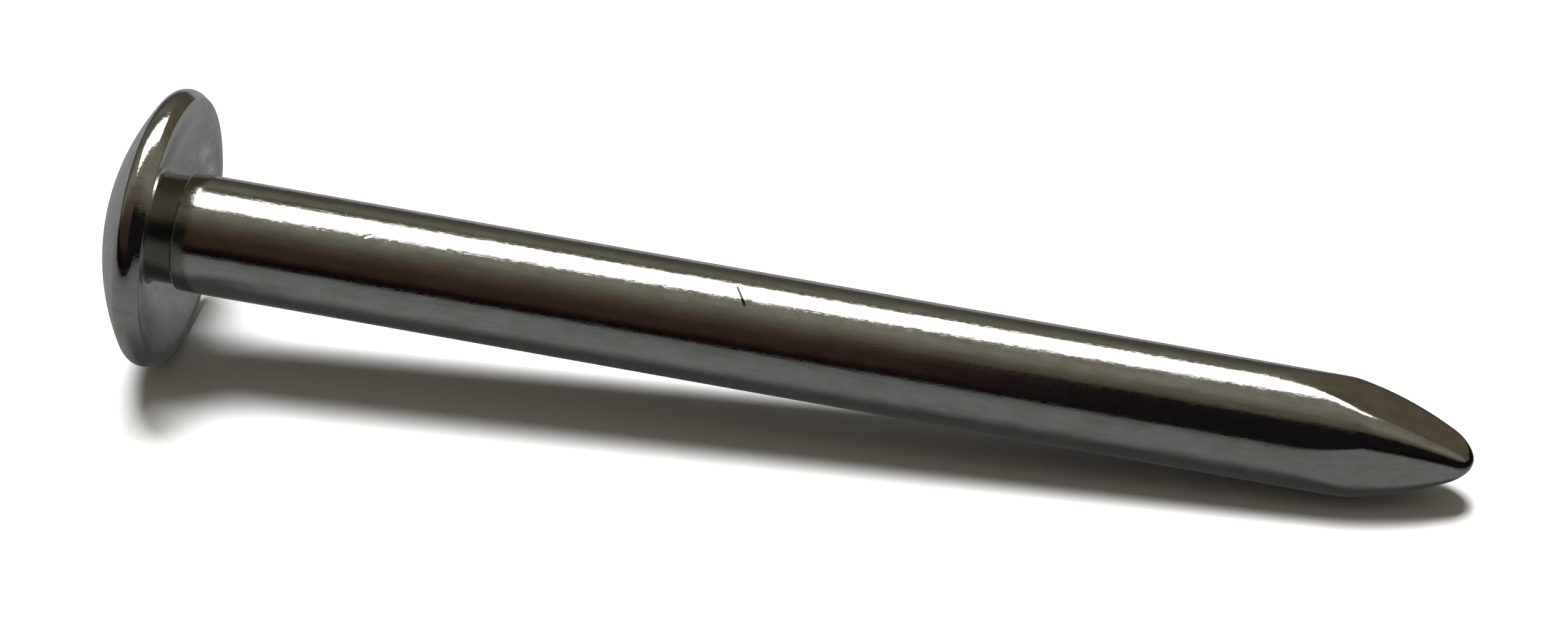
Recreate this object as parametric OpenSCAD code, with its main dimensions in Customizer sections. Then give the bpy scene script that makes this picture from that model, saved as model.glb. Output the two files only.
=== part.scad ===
// Domed-head nail, bright plated steel, cold-formed from one length of wire.
// The nail lies along X. The flat ring on the underside of the head is the plane X = 0,
// the dome is on the -X side and the point is on the +X side. +Z is up.

/* [Shank] */
// Diameter of the smooth shank
shank_d = 4; // [3.9:0.05:4.3]
// Overall length, from the top of the dome to the tip
nail_l = 45.8; // [20:0.1:120]

/* [Head] */
// Diameter of the head, measured over its rim
head_d = 9.4; // [9.3:0.05:9.8]
// Outer diameter of the flat ring on the underside, where the rim starts to flare
seat_d = 8.94; // [8.6:0.02:9.1]
// Inner diameter of the flat ring, where the hollow under the head starts
ring_d = 8.3; // [7:0.1:8.5]
// Depth of the hollow under the head, where its cone would reach the neck
hollow_h = 0.9; // [0.5:0.02:0.92]
// Height of the head, from the flat ring to the top of the dome
head_h = 2.28; // [1.8:0.02:3]
// Radius of the rounded rim
rim_r = 0.48; // [0.4:0.02:0.6]

/* [Neck] */
// Diameter of the neck between the head and the shank
neck_d = 3.68; // [3.4:0.02:3.8]
// How far the neck stands out past the flat ring
neck_l = 0.14; // [0.02:0.02:2]
// Radius of the fillet between the neck and the hollow under the head
root_r = 0.12; // [0.06:0.01:0.2]
// Length of the softened shoulder where the shank starts
shoulder_l = 0.12; // [0.05:0.01:0.5]

/* [Point] */
// Length of the point, over which its four facets run out into the shank
point_l = 7; // [6.4:0.1:7.2]
// Radius of the curve that the two broad facets follow from the shank to the tip
broad_curve_r = 14.9; // [14.2:0.1:17]
// Radius of the gentler curve that the two side facets follow
side_curve_r = 20.2; // [18:0.1:24]
// Length of the front part of the point, where the ridges curve in too
ridge_l = 4.9; // [4.7:0.05:5.2]
// Radius of the shorter curve that each softened ridge follows
ridge_curve_r = 9.3; // [8.8:0.1:11]
// How far the ridges draw in before that curve
ridge_draw_in = 0.02; // [0.01:0.01:0.1]

/* [Hidden] */
$fn = 128;

shank_r = shank_d / 2;
neck_r = neck_d / 2;
seat_r = seat_d / 2;
ring_r = ring_d / 2;
tip_x = nail_l - head_h;
point_x = tip_x - point_l;

// In every outline below, the first coordinate is the distance from the axis and the
// second is the distance along it.

// Head: the rim is a circle that stands on the plane of the flat ring. The dome is a
// sphere that the rim circle touches from inside, so dome and rim join without a crease.
rim_centre = [head_d / 2 - rim_r, rim_r];
dome_r = (pow(rim_centre.x, 2) + pow(head_h, 2) - 2 * rim_r * head_h) / (2 * (head_h - 2 * rim_r));
dome_centre = [0, head_h - dome_r];
dome_edge_angle = atan2(rim_centre.y - dome_centre.y, rim_centre.x);
dome_edge = dome_centre + dome_r * [cos(dome_edge_angle), sin(dome_edge_angle)];

// The flare from the outer edge of the ring is the line that touches the rim circle.
flare_angle = 90 - 2 * atan2(seat_r - rim_centre.x, rim_r);
flare_edge = rim_centre + rim_r * [cos(flare_angle), -sin(flare_angle)];

// Hollow: a shallow cone, with a fillet that touches both the cone and the neck.
hollow_angle = atan2(hollow_h, ring_r - neck_r);
root_centre = [neck_r + root_r, hollow_h - root_r * (tan(hollow_angle) + 1 / cos(hollow_angle))];
root_edge = root_centre + root_r * [sin(hollow_angle), cos(hollow_angle)];

// Point: the ridges draw in gently, then follow their curve to a small flat end.
ridge_start = [shank_r - ridge_draw_in, point_l - ridge_l];

// Turns a shape that rises along Z to point along X, and starts it at x.
module along_x(x) {
    translate([x, 0, 0]) rotate([0, 90, 0]) children();
}

// The round part of an outline beyond the height y, on one side of the axis.
module round_end(centre, r, y) {
    intersection() {
        translate(centre) circle(r);
        translate([0, y]) square(2 * r);
    }
}

module rim_outline() {
    intersection() {
        translate(rim_centre) circle(rim_r);
        polygon([flare_edge, [head_d, flare_edge.y], [head_d, dome_edge.y], dome_edge]);
    }
}

module head_outline() {
    polygon([[0, 0], [seat_r, 0], flare_edge, dome_edge, [0, dome_edge.y]]);
    rim_outline();
    round_end(dome_centre, dome_r, dome_edge.y);
}

// The hollow and the neck that stands in it, with the fillet at the neck's root.
module hollow_outline() {
    polygon([[0, 0], [0, root_centre.y], [neck_r, root_centre.y], root_edge, [ring_r, 0]]);
    translate(root_centre) circle(root_r);
}

module head() {
    color("silver")
    rotate([0, -90, 0])
    rotate_extrude()
    difference() {
        head_outline();
        hollow_outline();
    }
}

module neck() {
    color("gray")
    along_x(-root_centre.y)
    cylinder(h = root_centre.y + neck_l, r = neck_r);
}

module shank() {
    color("silver")
    along_x(neck_l)
    rotate_extrude()
    polygon([
        [0, 0],
        [neck_r, 0],
        [shank_r, shoulder_l],
        [shank_r, point_x - neck_l],
        [0, point_x - neck_l]
    ]);
}

// The wedge between two opposite facets, wide enough to clear the shank sideways. Both
// facets leave the shank without a crease and curve in towards the tip.
module facet_pair(curve_r) {
    rotate([90, 0, 0])
    linear_extrude(height = 2 * shank_d, center = true)
    intersection() {
        translate([shank_r - curve_r, 0]) circle(curve_r);
        translate([curve_r - shank_r, 0]) circle(curve_r);
        translate([-shank_r, 0]) square([shank_d, point_l]);
    }
}

// The outline of the ridges, which is round about the axis.
module ridge_outline() {
    polygon([[0, 0], [shank_r, 0], ridge_start, [0, ridge_start.y]]);
    intersection() {
        translate(ridge_start - [ridge_curve_r, 0]) circle(ridge_curve_r);
        translate([0, ridge_start.y]) square([shank_r, ridge_l]);
    }
}

module point() {
    color("darkgray")
    along_x(point_x)
    intersection() {
        rotate_extrude() ridge_outline();
        facet_pair(broad_curve_r);
        rotate([0, 0, 90]) facet_pair(side_curve_r);
    }
}

head();
neck();
shank();
point();
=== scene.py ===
"""A domed-head nail, plated bright and polished by tumbling, lying on a pale table."""
import math

import bmesh
import bpy
import numpy as np
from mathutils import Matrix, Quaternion, Vector


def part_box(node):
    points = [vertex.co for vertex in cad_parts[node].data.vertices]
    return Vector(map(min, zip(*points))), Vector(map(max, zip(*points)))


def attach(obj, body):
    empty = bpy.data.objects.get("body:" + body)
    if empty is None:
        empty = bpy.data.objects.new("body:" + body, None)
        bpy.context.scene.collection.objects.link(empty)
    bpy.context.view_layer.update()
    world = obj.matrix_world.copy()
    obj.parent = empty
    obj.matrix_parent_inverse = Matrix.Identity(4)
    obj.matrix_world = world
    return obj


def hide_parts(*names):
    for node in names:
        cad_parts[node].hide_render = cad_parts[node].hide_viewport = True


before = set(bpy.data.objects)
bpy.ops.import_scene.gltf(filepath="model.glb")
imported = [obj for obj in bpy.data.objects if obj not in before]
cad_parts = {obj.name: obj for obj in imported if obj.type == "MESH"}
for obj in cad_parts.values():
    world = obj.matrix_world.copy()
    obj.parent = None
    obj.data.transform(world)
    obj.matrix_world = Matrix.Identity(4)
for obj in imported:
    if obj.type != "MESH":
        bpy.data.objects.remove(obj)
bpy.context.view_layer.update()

MM = 0.001

# ---------------------------------------------------------------- sizes

head_low, head_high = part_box("head")
neck_low, neck_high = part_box("neck")
shank_low, shank_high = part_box("shank")
point_low, point_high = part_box("point")

head_r = (head_high.y - head_low.y) / 2
neck_r = (neck_high.y - neck_low.y) / 2
shank_r = (shank_high.y - shank_low.y) / 2
head_height = -head_low.x
neck_x = neck_low.x
shoulder_x = neck_high.x
point_x = point_low.x
tip_x = point_high.x
point_length = tip_x - point_x

rim_r = 0.48 * MM
seat_r = 4.47 * MM
seat_edge_r = 0.08 * MM
ring_r = 4.15 * MM
ring_edge_r = 0.3 * MM
hollow_depth = 0.9 * MM
root_r = 0.12 * MM
shoulder_length = 0.12 * MM

broad_curve_r = 14.9 * MM
side_curve_r = 20.2 * MM
facet_blend = 0.05 * MM
ridge_round_at_tip = 0.36 * MM
ridge_round_growth = 0.19
tip_round = 0.22 * MM
nose_r = 0.9 * MM

TURN_STEPS = 224


# ---------------------------------------------------------------- mesh helpers

def mesh_object(name, verts, faces):
    mesh = bpy.data.meshes.new(name)
    mesh.from_pydata([tuple(v) for v in verts], [], faces)
    mesh.update()
    made = bpy.data.objects.new(name, mesh)
    bpy.context.collection.objects.link(made)
    return made


def shade_by_angle(piece, degrees):
    """Smooth shading, with every edge sharper than the angle left crisp."""
    bm = bmesh.new()
    bm.from_mesh(piece.data)
    bmesh.ops.recalc_face_normals(bm, faces=bm.faces)
    for face in bm.faces:
        face.smooth = True
    for edge in bm.edges:
        edge.smooth = edge.calc_face_angle(0) < math.radians(degrees)
    bm.to_mesh(piece.data)
    bm.free()


def skin_rings(name, rings):
    """A closed skin over rings of points. A ring of one point is a pole."""
    verts, faces, starts = [], [], []
    for ring in rings:
        starts.append(len(verts))
        verts.extend(ring)
    for k in range(len(rings) - 1):
        n_near, n_far = len(rings[k]), len(rings[k + 1])
        for i in range(max(n_near, n_far)):
            corners = [
                starts[k] + i % n_near,
                starts[k] + (i + 1) % n_near,
                starts[k + 1] + (i + 1) % n_far,
                starts[k + 1] + i % n_far,
            ]
            faces.append(list(dict.fromkeys(corners)))
    return mesh_object(name, verts, faces)


def lathe(name, outline):
    """Turns (x, radius) points about the X axis."""
    turns = [2 * math.pi * i / TURN_STEPS for i in range(TURN_STEPS)]
    rings = []
    for x, r in outline:
        if r <= 0:
            rings.append([(x, 0.0, 0.0)])
            continue
        rings.append([(x, r * math.cos(t), r * math.sin(t)) for t in turns])
    piece = skin_rings(name, rings)
    shade_by_angle(piece, 35)
    return piece


def arc(centre, r, start, end, steps):
    """Points on a circle between two angles in degrees, measured from +X towards the radius."""
    angles = [math.radians(start + (end - start) * i / steps) for i in range(steps + 1)]
    return [(centre[0] + r * math.cos(a), centre[1] + r * math.sin(a)) for a in angles]


def soft_corner(before, corner, after, r, steps):
    """Points on an arc of radius r that touches both sides of a corner."""
    corner = Vector(corner)
    back, ahead = (Vector(before) - corner).normalized(), (Vector(after) - corner).normalized()
    half = back.angle(ahead) / 2
    centre = corner + (back + ahead).normalized() * r / math.sin(half)
    start = corner + back * r / math.tan(half) - centre
    end = corner + ahead * r / math.tan(half) - centre
    turn = start.angle_signed(end)
    points = []
    for i in range(steps + 1):
        a = -turn * i / steps
        points.append((
            centre.x + start.x * math.cos(a) - start.y * math.sin(a),
            centre.y + start.x * math.sin(a) + start.y * math.cos(a),
        ))
    return points


def straight(a, b, steps):
    """Points from a to b, both ends included."""
    return [(a[0] + (b[0] - a[0]) * i / steps, a[1] + (b[1] - a[1]) * i / steps) for i in range(steps + 1)]


# ---------------------------------------------------------------- pieces

def make_head():
    """Hollow underside, a flat ring with soft edges, a flare, the round rim and the dome."""
    rim_centre = (-rim_r, head_r - rim_r)
    reach = rim_centre[1]
    dome_r = (reach**2 + head_height**2 - 2 * rim_r * head_height) / (2 * (head_height - 2 * rim_r))
    dome_centre = (dome_r - head_height, 0.0)
    dome_edge = 180 - math.degrees(math.atan2(reach, dome_centre[0] + rim_r))
    flare = 90 - 2 * math.degrees(math.atan2(seat_r - reach, rim_r))
    flare_edge = arc(rim_centre, rim_r, 90 - flare, dome_edge, 40)
    root, ring, seat = (-hollow_depth, neck_r), (0.0, ring_r), (0.0, seat_r)
    outline = [(neck_x, 0.0), (neck_x, neck_r / 2)]
    outline += soft_corner((neck_x, neck_r), root, ring, root_r, 10)
    outline += straight(outline[-1], ring, 30)[1:-2]
    outline += soft_corner(root, ring, seat, ring_edge_r, 6)
    outline += soft_corner(ring, seat, flare_edge[0], seat_edge_r, 8)
    outline += flare_edge
    outline += arc(dome_centre, dome_r, dome_edge, 180, 90)[1:-1]
    outline += [(-head_height, 0.0)]
    return lathe("domed_head", outline)


def make_neck():
    """Short undercut between the hollow of the head and the shoulder of the shank."""
    outline = [(neck_x, 0.0), (neck_x, neck_r / 2)]
    outline += straight((neck_x, neck_r), (shoulder_x, neck_r), 16)
    outline += [(shoulder_x, neck_r / 2), (shoulder_x, 0.0)]
    return lathe("undercut_neck", outline)


def make_shank():
    """Straight drawn wire with a rounded shoulder."""
    drop = shank_r - neck_r
    outline = [(shoulder_x, 0.0), (shoulder_x, neck_r)]
    for i in range(1, 11):
        a = math.radians(90 * i / 10)
        outline.append((shoulder_x + shoulder_length * (1 - math.cos(a)), neck_r + drop * math.sin(a)))
    start = (shoulder_x + shoulder_length, shank_r)
    outline += straight(start, (point_x, shank_r), 160)[1:]
    outline += [(point_x, 0.0)]
    return lathe("drawn_shank", outline)


def smooth_max(a, b, blend):
    near = np.maximum(blend - np.abs(a - b), 0) / blend
    return np.maximum(a, b) + near * near * blend / 4


def round_max(a, b, r):
    """The larger of two distances, with the edge between them rounded to a radius."""
    out = np.hypot(np.maximum(a + r, 0), np.maximum(b + r, 0))
    return np.minimum(np.maximum(a, b), -r) + out


def point_depth(along, y, z):
    """How far outside the point's skin a place is. along is measured from where it starts."""
    half_width = shank_r - side_curve_r + np.sqrt(side_curve_r**2 - along**2)
    half_height = shank_r - broad_curve_r + np.sqrt(broad_curve_r**2 - along**2)
    ridge_round = ridge_round_at_tip + ridge_round_growth * np.maximum(point_length - along, 0)
    facets = round_max(np.abs(y) - half_width, np.abs(z) - half_height, ridge_round)
    body = smooth_max(facets, np.hypot(y, z) - shank_r, facet_blend)
    nose = along - point_length + (y * y + z * z) / (2 * nose_r)
    return round_max(body, nose, tip_round)


def make_point():
    """Two broad and two side facets with rounded ridges. Rings are found along rays from the axis."""
    fan_start = point_length - 0.9 * MM
    starts = list(np.linspace(0, fan_start, 150)) + [fan_start] * 40
    tilts = [90.0] * 150 + list(np.linspace(90, 0, 42)[1:-1])
    turns = np.linspace(0, 2 * math.pi, TURN_STEPS, endpoint=False)
    rings = [[(point_x, 0.0, 0.0)]]
    for start, tilt in zip(starts, tilts):
        forward, outward = math.cos(math.radians(tilt)), math.sin(math.radians(tilt))
        near, far = np.zeros(TURN_STEPS), np.full(TURN_STEPS, 1.5 * shank_r)
        for _ in range(40):
            reach = (near + far) / 2
            side = reach * outward
            outside = point_depth(start + reach * forward, side * np.cos(turns), side * np.sin(turns)) > 0
            near, far = np.where(outside, near, reach), np.where(outside, reach, far)
        side = near * outward
        x = point_x + start + near * forward
        rings.append(np.stack([x, side * np.cos(turns), side * np.sin(turns)], axis=1).tolist())
    rings.append([(tip_x, 0.0, 0.0)])
    piece = skin_rings("pinched_point", rings)
    shade_by_angle(piece, 50)
    return piece


# ---------------------------------------------------------------- materials

class Nodes:
    """Short names for the shader nodes of one material or world."""

    def __init__(self, owner):
        self.owner = owner
        owner.use_nodes = True
        self.tree = owner.node_tree
        self.tree.nodes.clear()

    def add(self, kind, **inputs):
        node = self.tree.nodes.new(kind)
        for key, value in inputs.items():
            socket = node.inputs[int(key[1:])] if key[1:].isdigit() else node.inputs[key.replace("_", " ")]
            if isinstance(value, bpy.types.NodeSocket):
                self.tree.links.new(value, socket)
            else:
                socket.default_value = value
        return node

    def stretched(self, scale):
        """Object coordinates in millimetres, stretched by scale."""
        place = self.tree.nodes.new("ShaderNodeTexCoord")
        fitted = self.add("ShaderNodeMapping", Vector=place.outputs["Object"])
        fitted.inputs["Scale"].default_value = tuple(s / MM for s in scale)
        return fitted.outputs["Vector"]

    def noise(self, scale, size, detail=2.0, roughness=0.5):
        made = self.add("ShaderNodeTexNoise", Vector=self.stretched(scale), Scale=size, Detail=detail)
        made.inputs["Roughness"].default_value = roughness
        return made.outputs["Fac"]

    def level(self, value, low, high, out_low=0.0, out_high=1.0):
        """value between low and high, spread over the output range and kept inside it."""
        made = self.add("ShaderNodeMapRange", Value=value)
        made.inputs["From Min"].default_value = low
        made.inputs["From Max"].default_value = high
        made.inputs["To Min"].default_value = out_low
        made.inputs["To Max"].default_value = out_high
        return made.outputs["Result"]

    def math(self, operation, a, b):
        made = self.add("ShaderNodeMath", _0=a, _1=b)
        made.operation = operation
        return made.outputs[0]

    def blend(self, factor, a, b):
        made = self.tree.nodes.new("ShaderNodeMix")
        made.data_type = "RGBA"
        if isinstance(factor, bpy.types.NodeSocket):
            self.tree.links.new(factor, made.inputs["Factor"])
        else:
            made.inputs["Factor"].default_value = factor
        for socket, value in ((made.inputs[6], a), (made.inputs[7], b)):
            if isinstance(value, bpy.types.NodeSocket):
                self.tree.links.new(value, socket)
            else:
                socket.default_value = (*value, 1.0)
        return made.outputs[2]

    def bump(self, height, depth, before=None):
        """Raises the surface by depth metres where height is 1."""
        made = self.add("ShaderNodeBump", Height=height, Strength=1.0)
        made.inputs["Distance"].default_value = depth
        if before is not None:
            self.tree.links.new(before, made.inputs["Normal"])
        return made.outputs["Normal"]


# Painted light on the underside of the head: bright patches that stand for the shank's highlight thrown
# onto it, with place and reach.
UNDERSIDE_PAINTED_GLOWS = (
    ((-0.27 * MM, 3.29 * MM, 1.04 * MM), 0.7 * MM),
    ((-0.18 * MM, 3.69 * MM, 0.19 * MM), 0.6 * MM),
)


def mark(n, x, turn, half_length, half_width, slant):
    """1 on a short stroke on the shank. turn is in degrees from the front up to the top."""
    place = n.add("ShaderNodeTexCoord").outputs["Object"]
    parts = n.add("ShaderNodeSeparateXYZ", Vector=place)
    front = n.math("MULTIPLY", parts.outputs["Y"], -1.0)
    angle = n.math("ARCTAN2", parts.outputs["Z"], front)
    round_way = n.math("MULTIPLY", n.math("SUBTRACT", angle, math.radians(turn)), shank_r)
    long_way = n.math("SUBTRACT", parts.outputs["X"], x)
    lean, hold = math.sin(math.radians(slant)), math.cos(math.radians(slant))
    along = n.math("ADD", n.math("MULTIPLY", long_way, hold), n.math("MULTIPLY", round_way, lean))
    across = n.math("SUBTRACT", n.math("MULTIPLY", round_way, hold), n.math("MULTIPLY", long_way, lean))
    in_length = n.level(n.math("ABSOLUTE", along, 0.0), half_length, 0.7 * half_length)
    in_width = n.level(n.math("ABSOLUTE", across, 0.0), half_width, 0.3 * half_width)
    return n.math("MULTIPLY", in_length, in_width)


def add_marks(n, colour, normal):
    """A dark fibre, a faint dark lengthwise line and a bright nick on the shank."""
    fibre = mark(n, 18.8 * MM, 68, 0.5 * MM, 0.075 * MM, -62)
    dark_lengthwise_line = mark(n, 20.5 * MM, 71.3, 6.5 * MM, 0.05 * MM, 0)
    nick = mark(n, 6.5 * MM, 61, 0.16 * MM, 0.07 * MM, 25)
    # Darkens the colour along a thin line that runs the length of the shank.
    colour = n.blend(n.math("MULTIPLY", dark_lengthwise_line, 0.45), colour, (0.14, 0.13, 0.11))
    colour = n.blend(fibre, colour, (0.02, 0.018, 0.015))
    return colour, n.bump(n.math("ADD", nick, fibre), -0.006 * MM, normal)


def add_satin(n, colour, rough, peel):
    """Duller metal on the head's underside, inside the ring's outer edge, with painted bright patches of
    light thrown from the shank.
    """
    place = n.add("ShaderNodeTexCoord").outputs["Object"]
    parts = n.add("ShaderNodeSeparateXYZ", Vector=place)
    flat = n.add("ShaderNodeCombineXYZ", Y=parts.outputs["Y"], Z=parts.outputs["Z"])
    off_axis = n.add("ShaderNodeVectorMath", _0=flat.outputs[0])
    off_axis.operation = "LENGTH"
    within = n.level(off_axis.outputs["Value"], seat_r, seat_r - 0.1 * MM)
    below = n.level(parts.outputs["X"], -0.85 * MM, -0.8 * MM)
    satin = n.math("MULTIPLY", within, below)
    rough = n.math("ADD", rough, n.math("MULTIPLY", satin, 0.14))
    for spot, reach in UNDERSIDE_PAINTED_GLOWS:
        gap = n.add("ShaderNodeVectorMath", _0=place, _1=spot)
        gap.operation = "DISTANCE"
        # Painted light: near-white patches for the shank's highlight thrown onto the underside.
        glow_distance = n.math("ADD", gap.outputs["Value"], n.math("MULTIPLY", peel, 0.5 * MM))
        painted_glow = n.math("MULTIPLY", satin, n.level(glow_distance, reach, 0.3 * reach, 0.0, 0.8))
        colour = n.blend(painted_glow, colour, (0.95, 0.95, 0.97))
    return colour, rough


def plated_steel(name, tone, node):
    """Bright plating over drawn steel. tone darkens its two main colours; on the neck this is painted
    shade.
    """
    n = Nodes(bpy.data.materials.new(name))
    ripple = n.noise((0.6, 1, 1), 1.6, 3.0)
    peel = n.noise((0.7, 1, 1), 6.0, 3.0)
    lines = n.noise((0.06, 1, 1), 14.0, 2.0)
    pits = n.noise((0.5, 1, 1), 12.0, 4.0, 0.7)
    streaks = n.noise((0.08, 1, 1), 5.0, 3.0, 0.6)
    mottle = n.noise((0.7, 1, 1), 2.4, 4.0, 0.65)
    normal = n.bump(ripple, 0.005 * MM)
    normal = n.bump(peel, 0.0018 * MM, normal)
    normal = n.bump(lines, 0.0014 * MM, normal)
    normal = n.bump(n.level(pits, 0.5, 0.72), -0.0008 * MM, normal)
    light = [tone * c for c in (0.58, 0.575, 0.54)]
    dark = [tone * c for c in (0.51, 0.49, 0.45)]
    colour = n.blend(n.level(ripple, 0.35, 0.65), light, dark)
    colour = n.blend(n.level(streaks, 0.52, 0.8, 0.0, 0.7), colour, (0.36, 0.34, 0.31))
    colour = n.blend(n.level(mottle, 0.48, 0.72, 0.0, 0.5), colour, (0.43, 0.42, 0.35))
    rough = n.level(peel, 0.3, 0.7, 0.07, 0.14)
    if node == "shank":
        colour, normal = add_marks(n, colour, normal)
    if node == "head":
        colour, rough = add_satin(n, colour, rough, peel)
    shader = n.add("ShaderNodeBsdfPrincipled", Base_Color=colour, Roughness=rough, Normal=normal)
    shader.inputs["Metallic"].default_value = 1.0
    n.add("ShaderNodeOutputMaterial", Surface=shader.outputs[0])
    return n.owner


# Painted shade: the neck's colours are darkened because it sits in the hollow under the head.
NECK_PAINTED_SHADE = 0.62

# Painted light: the share of the table's mirrored tone that is given as a glow the nail's shadow leaves
# alone, and its brightness.
MIRROR_GLOW_SHARE = 0.2
MIRROR_GLOW = 2.6


def make_table_material():
    """Pale matt tabletop. What the metal mirrors of it is a painted reflection: a dimmer tone, darker in
    front and to the right, lighter behind, with a near-black patch and a glow.
    """
    n = Nodes(bpy.data.materials.new("pale_table"))
    seen = n.tree.nodes.new("ShaderNodeLightPath")
    place = n.add("ShaderNodeTexCoord")
    parts = n.add("ShaderNodeSeparateXYZ", Vector=place.outputs["Object"])
    # Painted reflection: the tone glossy rays see, dim in front and towards the right, lighter behind.
    behind = n.level(parts.outputs["Y"], -0.03, 0.03)
    rightward = n.level(parts.outputs["X"], -0.01, 0.05)
    in_front = n.blend(rightward, (0.084, 0.088, 0.089), (0.043, 0.046, 0.042))
    mirrored = n.blend(behind, in_front, (0.160, 0.163, 0.170))
    # Painted shade: a near-black patch in the mirrored table, far in front of the tip and to its right.
    not_far_in_front = n.level(parts.outputs["Y"], -0.042, -0.034)
    not_far_right = n.level(parts.outputs["X"], 0.0475, 0.0445)
    mirrored = n.blend(n.math("MULTIPLY", not_far_in_front, not_far_right), (0.004, 0.003, 0.003), mirrored)
    shaded = n.blend(MIRROR_GLOW_SHARE, mirrored, (0.0, 0.0, 0.0))
    colour = n.blend(seen.outputs["Is Glossy Ray"], (0.9, 0.9, 0.9), shaded)
    matt = n.add("ShaderNodeBsdfDiffuse", Color=colour)
    # Painted light: glossy rays also see part of the mirrored tone as a glow.
    glow = n.math("MULTIPLY", seen.outputs["Is Glossy Ray"], MIRROR_GLOW_SHARE * MIRROR_GLOW)
    even = n.add("ShaderNodeEmission", Color=mirrored, Strength=glow)
    both = n.add("ShaderNodeAddShader", _0=matt.outputs[0], _1=even.outputs[0])
    n.add("ShaderNodeOutputMaterial", Surface=both.outputs[0])
    return n.owner


# ---------------------------------------------------------------- the nail

head = make_head()
neck = make_neck()
shank = make_shank()
point = make_point()

for piece, node in ((head, "head"), (neck, "neck"), (shank, "shank"), (point, "point")):
    # The neck's darker tone is painted shade from the hollow under the head.
    tone = NECK_PAINTED_SHADE if node == "neck" else 1.0
    piece.data.materials.append(plated_steel("steel_" + node, tone, node))
    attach(piece, "root")
    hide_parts(node)


# ---------------------------------------------------------------- table

def lowest(piece, up):
    return min(vertex.co.dot(up) for vertex in piece.data.vertices)


def table_up():
    """The table's upward direction when the nail lies on it by its rim and its tip."""
    low, high = 0.0, math.radians(15)
    for _ in range(40):
        slope = (low + high) / 2
        up = Vector((-math.sin(slope), 0, math.cos(slope)))
        if lowest(point, up) > lowest(head, up):
            low = slope
        else:
            high = slope
    return up


up = table_up()
TABLE_HALF = 1.5
corners = [(TABLE_HALF * i, TABLE_HALF * j, 0) for i, j in ((-1, -1), (1, -1), (1, 1), (-1, 1))]
table = mesh_object("table", corners, [(0, 1, 2, 3)])
table.rotation_mode = "QUATERNION"
table.rotation_quaternion = Vector((0, 0, 1)).rotation_difference(up)
table.location = up * lowest(head, up)
table.data.materials.append(make_table_material())


# ---------------------------------------------------------------- light

def soft_light(name, place, aim, size, power, turn=0.0):
    data = bpy.data.lights.new(name, "AREA")
    data.shape = "RECTANGLE"
    data.size, data.size_y = size
    data.energy = power
    lamp = bpy.data.objects.new(name, data)
    bpy.context.collection.objects.link(lamp)
    lamp.location = place
    lamp.rotation_mode = "QUATERNION"
    facing = (Vector(aim) - Vector(place)).to_track_quat("-Z", "Y")
    lamp.rotation_quaternion = facing @ Quaternion((0, 0, 1), turn)
    return lamp


# One lamp is only mirrored by the metal, and the other only lights the table and its shadow.
softbox = soft_light(
    "overhead_softbox", (-0.03, 0.19, 0.5), (-0.03, 0.19, 0.0), (0.74, 0.27), 4.0, math.radians(28)
)
softbox.visible_diffuse = False
key = soft_light("shadow_key", (-0.11, 0.155, 0.5), (0.02, 0.0, 0.0), (0.26, 0.21), 6.0)
key.visible_glossy = False


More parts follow.
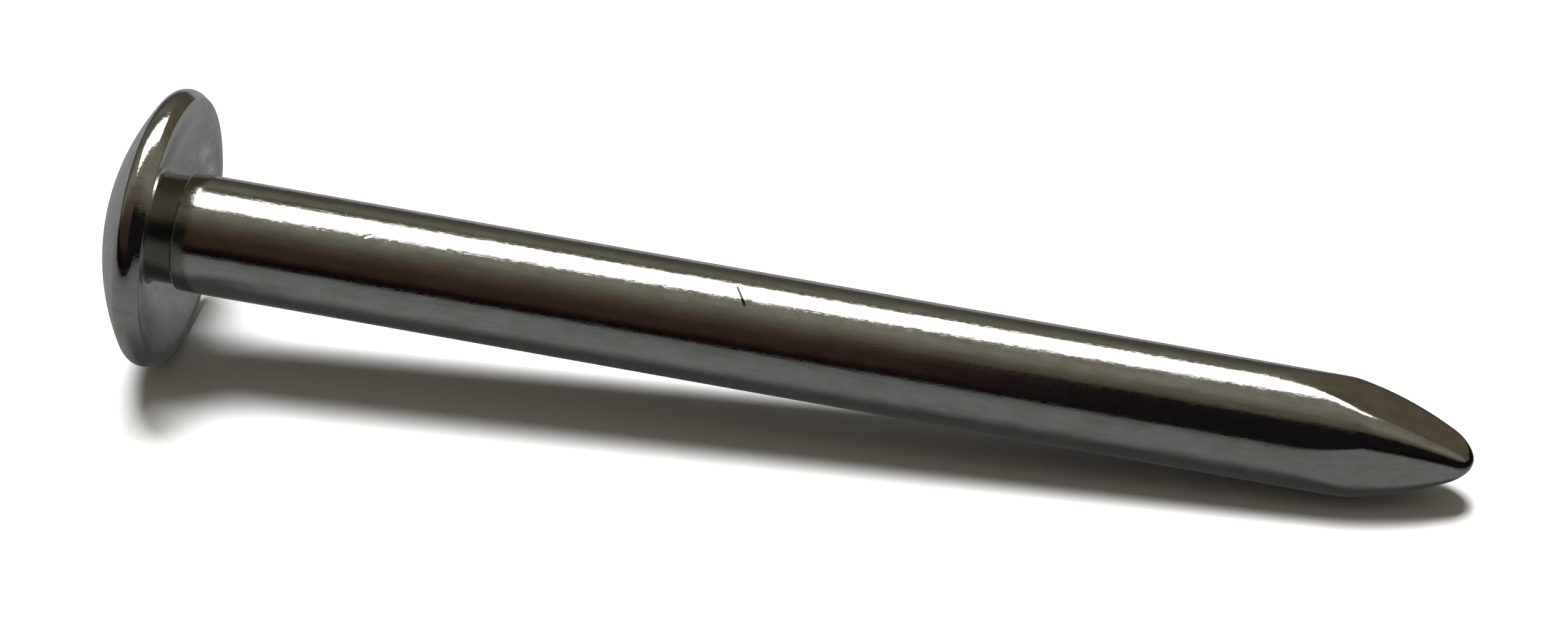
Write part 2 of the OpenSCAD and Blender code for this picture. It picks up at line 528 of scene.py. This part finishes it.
def make_world():
    """A room that is pale to the camera. Mirrored, it is olive overhead and dark in front."""
    world = bpy.data.worlds.new("dim_room")
    bpy.context.scene.world = world
    n = Nodes(world)
    place = n.add("ShaderNodeTexCoord")
    parts = n.add("ShaderNodeSeparateXYZ", Vector=place.outputs["Generated"])
    front = n.math("MULTIPLY", parts.outputs["Y"], -1.0)
    angle = n.math("ARCTAN2", parts.outputs["Z"], front)
    share = n.math("DIVIDE", angle, math.pi)
    ramp = n.tree.nodes.new("ShaderNodeValToRGB")
    n.tree.links.new(share, ramp.inputs[0])
    sky = (
        (0, (0.004, 0.003, 0.002)),
        (7, (0.02, 0.010, 0.009)),
        (14, (0.045, 0.026, 0.022)),
        (30, (0.05, 0.030, 0.024)),
        (45, (0.09, 0.065, 0.048)),
        (60, (0.14, 0.13, 0.10)),
        (78, (0.27, 0.26, 0.22)),
        (120, (0.20, 0.19, 0.16)),
        (132, (0.10, 0.097, 0.07)),
        (141, (0.20, 0.195, 0.155)),
        (165, (0.09, 0.085, 0.07)),
        (180, (0.09, 0.085, 0.07)),
    )
    while len(ramp.color_ramp.elements) < len(sky):
        ramp.color_ramp.elements.new(0.5)
    for element, (degrees, colour) in zip(ramp.color_ramp.elements, sky):
        element.position = degrees / 180
        element.color = (*colour, 1.0)
    rightward = n.level(parts.outputs["X"], 0.0, 0.1)
    low_right = n.math("MULTIPLY", rightward, n.level(share, 50 / 180, 46 / 180))
    colour = n.blend(low_right, ramp.outputs[0], (0.010, 0.009, 0.010))
    well_right = n.level(parts.outputs["X"], 0.15, 0.3)
    far_right = n.math("MULTIPLY", well_right, n.level(share, 118 / 180, 125 / 180))
    colour = n.blend(far_right, colour, (0.12, 0.105, 0.07))
    seen = n.tree.nodes.new("ShaderNodeLightPath").outputs["Is Camera Ray"]
    colour = n.blend(seen, colour, (0.9, 0.9, 0.9))
    n.add("ShaderNodeOutputWorld", Surface=n.add("ShaderNodeBackground", Color=colour).outputs[0])


make_world()

# ---------------------------------------------------------------- camera

VIEW_AZIMUTH = math.radians(1.36)
VIEW_ELEVATION = math.radians(34.44)
VIEW_ROLL = math.radians(9.26)
VIEW_DISTANCE = 81.4 * MM
VIEW_CENTRE = Vector((20.25, 0.45, 0.64)) * MM

back = Vector((
    math.sin(VIEW_AZIMUTH) * math.cos(VIEW_ELEVATION),
    -math.cos(VIEW_AZIMUTH) * math.cos(VIEW_ELEVATION),
    math.sin(VIEW_ELEVATION),
))
camera_data = bpy.data.cameras.new("camera")
camera_data.sensor_width = 36
camera_data.lens = 56.25
camera_data.clip_start = 0.001
camera_data.clip_end = 10
camera = bpy.data.objects.new("camera", camera_data)
bpy.context.collection.objects.link(camera)
camera.location = VIEW_CENTRE + back * VIEW_DISTANCE
camera.rotation_mode = "QUATERNION"
camera.rotation_quaternion = (-back).to_track_quat("-Z", "Y") @ Quaternion((0, 0, 1), VIEW_ROLL)
bpy.context.scene.camera = camera
bpy.context.scene.view_settings.view_transform = "Standard"
